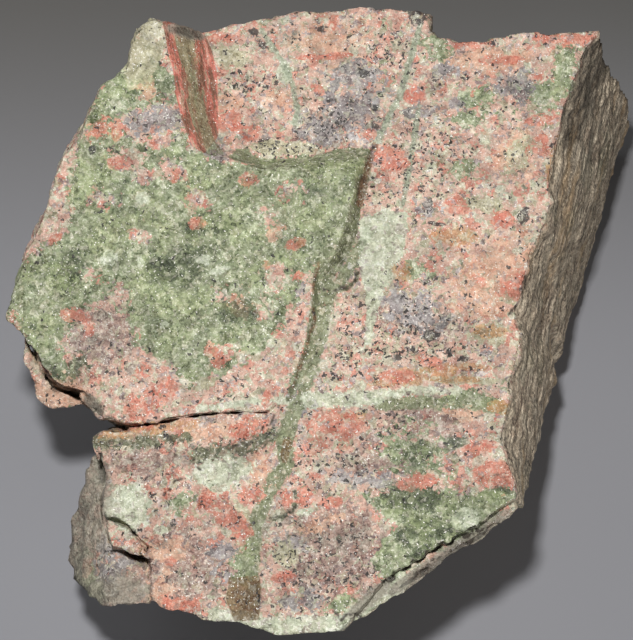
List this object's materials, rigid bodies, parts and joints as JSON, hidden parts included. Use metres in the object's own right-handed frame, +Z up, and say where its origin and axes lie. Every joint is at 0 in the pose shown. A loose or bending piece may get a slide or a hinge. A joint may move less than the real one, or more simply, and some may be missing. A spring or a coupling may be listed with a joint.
{
  "type": "unakite stone",
  "caption": "Broken block of unakite with a tilted fresh face of green epidote and pink feldspar, a raised plate on one side and a flat underside to rest on.",
  "frame": {"origin": "middle of the bounding box of the flat underside, on the surface the stone rests on", "axes": "+Z up from the flat underside; -Y towards the low front edge of the fresh face, which leans back and up towards +Y; +X towards the weathered right side"},
  "size_m": [0.1722, 0.173, 0.097],
  "materials": {
    "unakite": "rough broken stone, sugary where green, faintly glinting on crystal faces"
  },
  "bodies": {
    "root": {"unakite_block": "unakite"}
  },
  "joints": []
}
